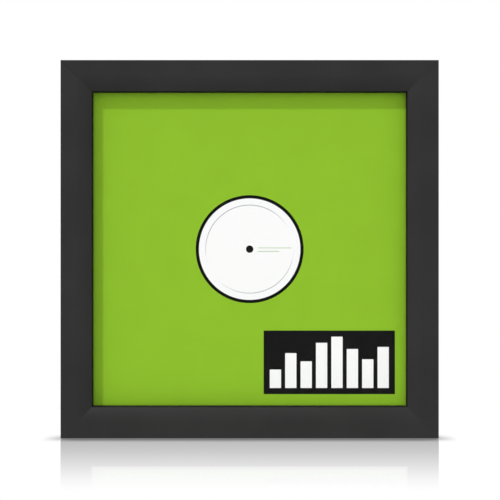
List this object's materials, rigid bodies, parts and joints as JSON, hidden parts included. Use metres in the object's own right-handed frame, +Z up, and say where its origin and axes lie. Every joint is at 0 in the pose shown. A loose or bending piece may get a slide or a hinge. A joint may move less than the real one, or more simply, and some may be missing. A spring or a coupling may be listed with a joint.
{
  "type": "vinyl record frame",
  "caption": "Square wall frame that shows a 12-inch record in its card sleeve behind clear glazing, held from behind by a board and turn buttons.",
  "frame": {"origin": "under the middle of the frame: bottom centre of its box, on the surface it stands on", "axes": "+Z up, -Y towards the viewer in front of the frame, +X to the viewer's right"},
  "size_m": [0.365, 0.0274, 0.365],
  "materials": {
    "rail_finish": "satin",
    "v_nail_steel": "satin",
    "clear_acrylic": "gloss",
    "spacer_black": "matte",
    "sleeve_card": "matte",
    "record_vinyl": "gloss",
    "label_paper": "matte",
    "board_fibre": "matte",
    "button_steel": "satin",
    "screw_steel": "satin",
    "hanger_steel": "satin",
    "tack_steel": "satin",
    "bumper_rubber": "matte"
  },
  "bodies": {
    "frame": {"top_rail": "rail_finish", "bottom_rail": "rail_finish", "left_rail": "rail_finish", "right_rail": "rail_finish", "corner_v_nails": "v_nail_steel", "glazing": "clear_acrylic", "top_spacer": "spacer_black", "bottom_spacer": "spacer_black", "left_spacer": "spacer_black", "right_spacer": "spacer_black", "record_sleeve": "sleeve_card", "record_disc": "record_vinyl", "front_label": "label_paper", "back_label": "label_paper", "backing_board": "board_fibre", "turn_button_screws": "screw_steel", "sawtooth_hanger": "hanger_steel", "hanger_tacks": "tack_steel", "left_bumper": "bumper_rubber", "right_bumper": "bumper_rubber"},
    "button_bottom_left": {"turn_button_bottom_left": "button_steel"},
    "button_bottom_right": {"turn_button_bottom_right": "button_steel"},
    "button_right_lower": {"turn_button_right_lower": "button_steel"},
    "button_right_upper": {"turn_button_right_upper": "button_steel"},
    "button_top_right": {"turn_button_top_right": "button_steel"},
    "button_top_left": {"turn_button_top_left": "button_steel"},
    "button_left_upper": {"turn_button_left_upper": "button_steel"},
    "button_left_lower": {"turn_button_left_lower": "button_steel"}
  },
  "joints": [
    {"name": "button_bottom_left_turn", "type": "hinge", "parent": "frame", "child": "button_bottom_left", "pos_m": [-0.075, 0.01025, 0.016], "axis": [0, 1, 0], "continuous": true},
    {"name": "button_bottom_right_turn", "type": "hinge", "parent": "frame", "child": "button_bottom_right", "pos_m": [0.075, 0.01025, 0.016], "axis": [0, 1, 0], "continuous": true},
    {"name": "button_right_lower_turn", "type": "hinge", "parent": "frame", "child": "button_right_lower", "pos_m": [0.1665, 0.01025, 0.1075], "axis": [0, 1, 0], "continuous": true},
    {"name": "button_right_upper_turn", "type": "hinge", "parent": "frame", "child": "button_right_upper", "pos_m": [0.1665, 0.01025, 0.2575], "axis": [0, 1, 0], "continuous": true},
    {"name": "button_top_right_turn", "type": "hinge", "parent": "frame", "child": "button_top_right", "pos_m": [0.075, 0.01025, 0.349], "axis": [0, 1, 0], "continuous": true},
    {"name": "button_top_left_turn", "type": "hinge", "parent": "frame", "child": "button_top_left", "pos_m": [-0.075, 0.01025, 0.349], "axis": [0, 1, 0], "continuous": true},
    {"name": "button_left_upper_turn", "type": "hinge", "parent": "frame", "child": "button_left_upper", "pos_m": [-0.1665, 0.01025, 0.2575], "axis": [0, 1, 0], "continuous": true},
    {"name": "button_left_lower_turn", "type": "hinge", "parent": "frame", "child": "button_left_lower", "pos_m": [-0.1665, 0.01025, 0.1075], "axis": [0, 1, 0], "continuous": true}
  ]
}
